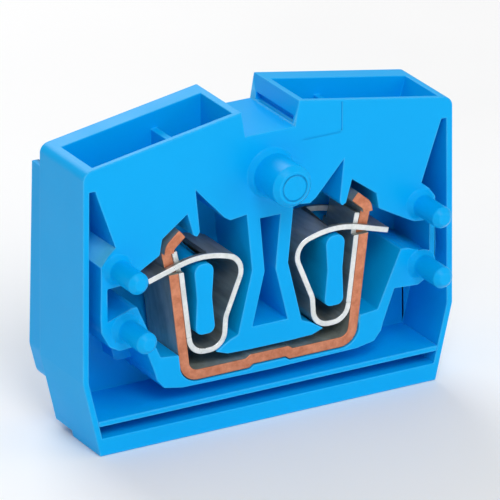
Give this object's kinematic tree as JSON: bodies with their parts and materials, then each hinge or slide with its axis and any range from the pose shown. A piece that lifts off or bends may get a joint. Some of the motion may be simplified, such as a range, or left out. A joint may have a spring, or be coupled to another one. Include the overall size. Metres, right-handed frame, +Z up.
{
  "type": "terminal block",
  "caption": "Spring clamp terminal block for two conductors, open on one side, with pins and bores that plug it to its neighbours in a row.",
  "frame": {"origin": "underside of the foot, at the middle of the length and of the pitch between blocks", "axes": "+X along the block's length, +Y from the open side to the closed side, +Z up from the foot to the roof"},
  "size_m": [0.028, 0.0118, 0.0221],
  "materials": {
    "housing": "semi-gloss moulded polyamide",
    "busbar": "stamped copper, tin-plated flats",
    "spring": "spring steel strip"
  },
  "bodies": {
    "block": {"housing_closed_wall": "housing", "housing_side_wall_left": "housing", "housing_side_wall_right": "housing", "housing_foot_plate": "housing", "housing_shelf": "housing", "housing_front_panel": "housing", "housing_centre_block": "housing", "housing_funnel_wall_left": "housing", "housing_funnel_wall_right": "housing", "housing_slot_divider_left": "housing", "housing_slot_divider_right": "housing", "housing_centre_web": "housing", "housing_spring_post_left": "housing", "housing_spring_post_right": "housing", "housing_busbar_cradle": "housing", "housing_pin_arm_left": "housing", "housing_pin_arm_right": "housing", "housing_main_pin": "housing", "housing_small_pins": "housing", "housing_nesting_rim": "housing", "housing_tongue": "housing", "housing_retaining_pad_left": "housing", "housing_retaining_pad_right": "housing", "busbar": "busbar", "spring_leg_left": "spring", "spring_leg_right": "spring"},
    "left_clamp": {"spring_arm_left": "spring"},
    "right_clamp": {"spring_arm_right": "spring"}
  },
  "joints": [
    {"name": "left_clamp_opens", "type": "hinge", "parent": "block", "child": "left_clamp", "pos_m": [-0.00584, -0.00084, 0.00702], "axis": [0, -1, 0], "range_deg": [0, 19], "stiffness_Nm_per_rad": 0.1, "springref_deg": -20.05},
    {"name": "right_clamp_opens", "type": "hinge", "parent": "block", "child": "right_clamp", "pos_m": [0.00584, -0.00084, 0.00702], "axis": [0, 1, 0], "range_deg": [0, 19], "stiffness_Nm_per_rad": 0.1, "springref_deg": -20.05}
  ]
}
